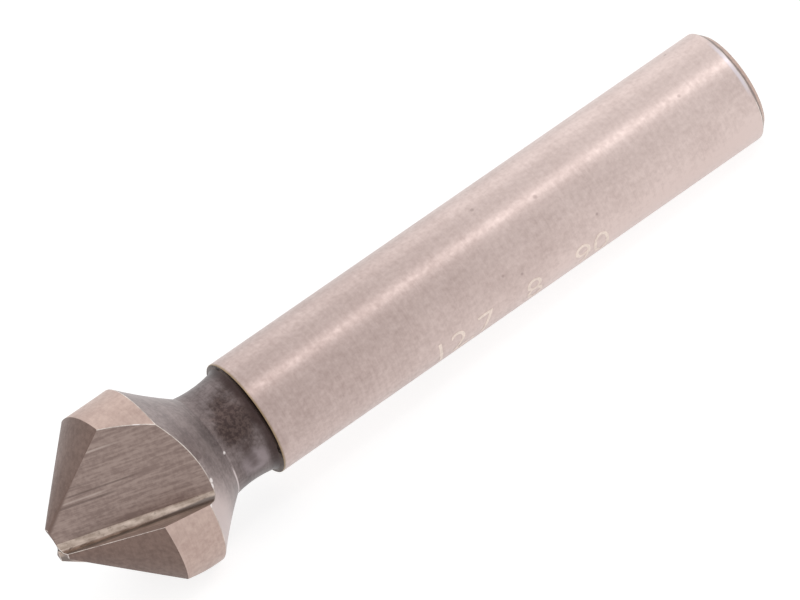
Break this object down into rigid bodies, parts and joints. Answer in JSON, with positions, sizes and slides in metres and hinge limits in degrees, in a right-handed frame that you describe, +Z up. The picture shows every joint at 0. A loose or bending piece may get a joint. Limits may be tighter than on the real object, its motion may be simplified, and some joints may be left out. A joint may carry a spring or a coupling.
{
  "type": "countersink bit",
  "caption": "Fluted countersink bit with a ground 90 degree point and a plain round shank, for chamfering and countersinking drilled holes.",
  "frame": {"origin": "centre of the part's box, on the surface that it lies on", "axes": "+X from the tip towards the end of the shank, dipping about two degrees with the bit's own axis, +Z up"},
  "size_m": [0.0532, 0.0126, 0.0121],
  "materials": {
    "high_speed_steel": "ground high-speed steel, satin on the shank and lands, with fine grinding lines in the flutes and a dark, heat-blued neck"
  },
  "bodies": {
    "root": {"countersink_bit": "high_speed_steel"}
  },
  "joints": []
}
